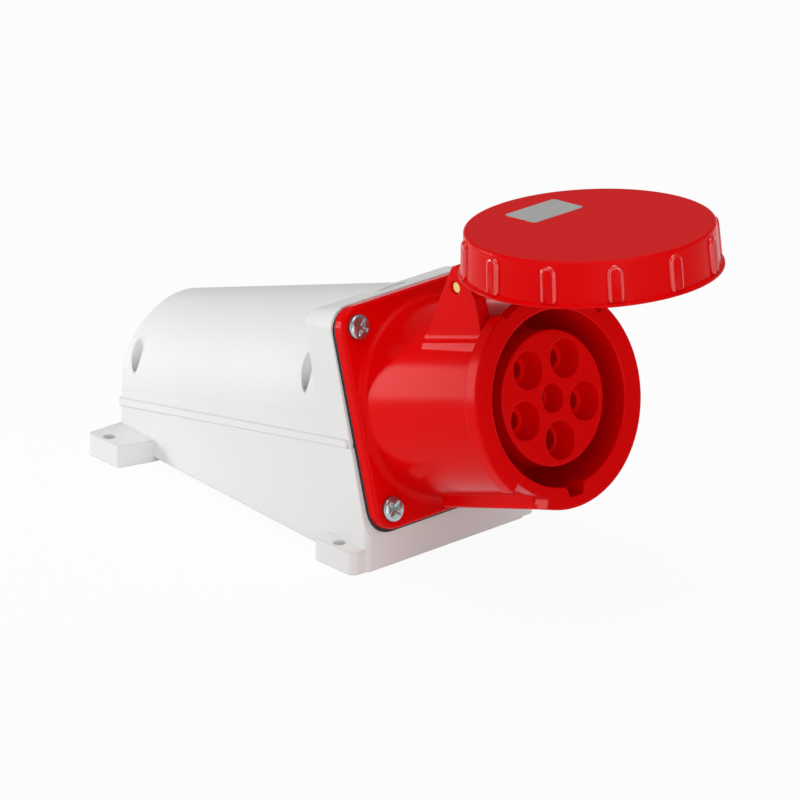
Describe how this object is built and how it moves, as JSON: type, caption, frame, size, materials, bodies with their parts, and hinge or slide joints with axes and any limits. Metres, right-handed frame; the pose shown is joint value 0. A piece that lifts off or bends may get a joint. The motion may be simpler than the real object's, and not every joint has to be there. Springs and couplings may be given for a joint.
{
  "type": "surface mount pin and sleeve socket",
  "caption": "Wall-mounted pin and sleeve power socket: a tilted round socket on an inclined box, with a hinged bayonet twist cap standing open.",
  "frame": {"origin": "centre of the base's plan on the wall plane", "axes": "+Z out of the wall, the socket faces -Y leaning to +Z, +X to the right seen from the front"},
  "size_m": [0.1244, 0.3579, 0.1995],
  "materials": {
    "white_plastic": "satin moulded thermoplastic",
    "red_plastic": "semi-gloss moulded thermoplastic",
    "black_plastic": "moulded, matt",
    "black_rubber": "moulded elastomer, matt",
    "zinc_steel": "bright zinc plated",
    "brass": "turned brass",
    "grey_label": "bare printed-label stock, matt"
  },
  "bodies": {
    "enclosure": {"base_box": "white_plastic", "hood_cover": "white_plastic", "enclosure_seal": "black_rubber", "hood_screws": "zinc_steel", "cable_grommet": "black_rubber", "flange_gasket": "black_rubber", "socket_housing": "red_plastic", "flange_screws": "zinc_steel", "contact_carrier": "red_plastic", "retainer_plate": "black_plastic", "carrier_screws": "zinc_steel", "line_contact_1": "brass", "line_contact_2": "brass", "line_contact_3": "brass", "neutral_contact": "brass", "earth_contact": "brass", "pilot_contact": "brass", "terminal_screws": "zinc_steel", "hinge_pin": "brass"},
    "lid_arm": {"lid_plate": "red_plastic", "lid_gasket": "black_rubber"},
    "lid_cap": {"twist_cap": "red_plastic", "pivot_washer": "zinc_steel", "cap_screw": "zinc_steel", "label_plate": "grey_label"}
  },
  "joints": [
    {"name": "lid_hinge", "type": "hinge", "parent": "enclosure", "child": "lid_arm", "pos_m": [0, -0.12845, 0.15144], "axis": [-1, 0, 0], "range_deg": [-78.76, 35]},
    {"name": "cap_twist", "type": "hinge", "parent": "lid_arm", "child": "lid_cap", "pos_m": [0, -0.18588, 0.18658], "axis": [0, -0.1118, -0.9937], "range_deg": [0, 40]}
  ]
}
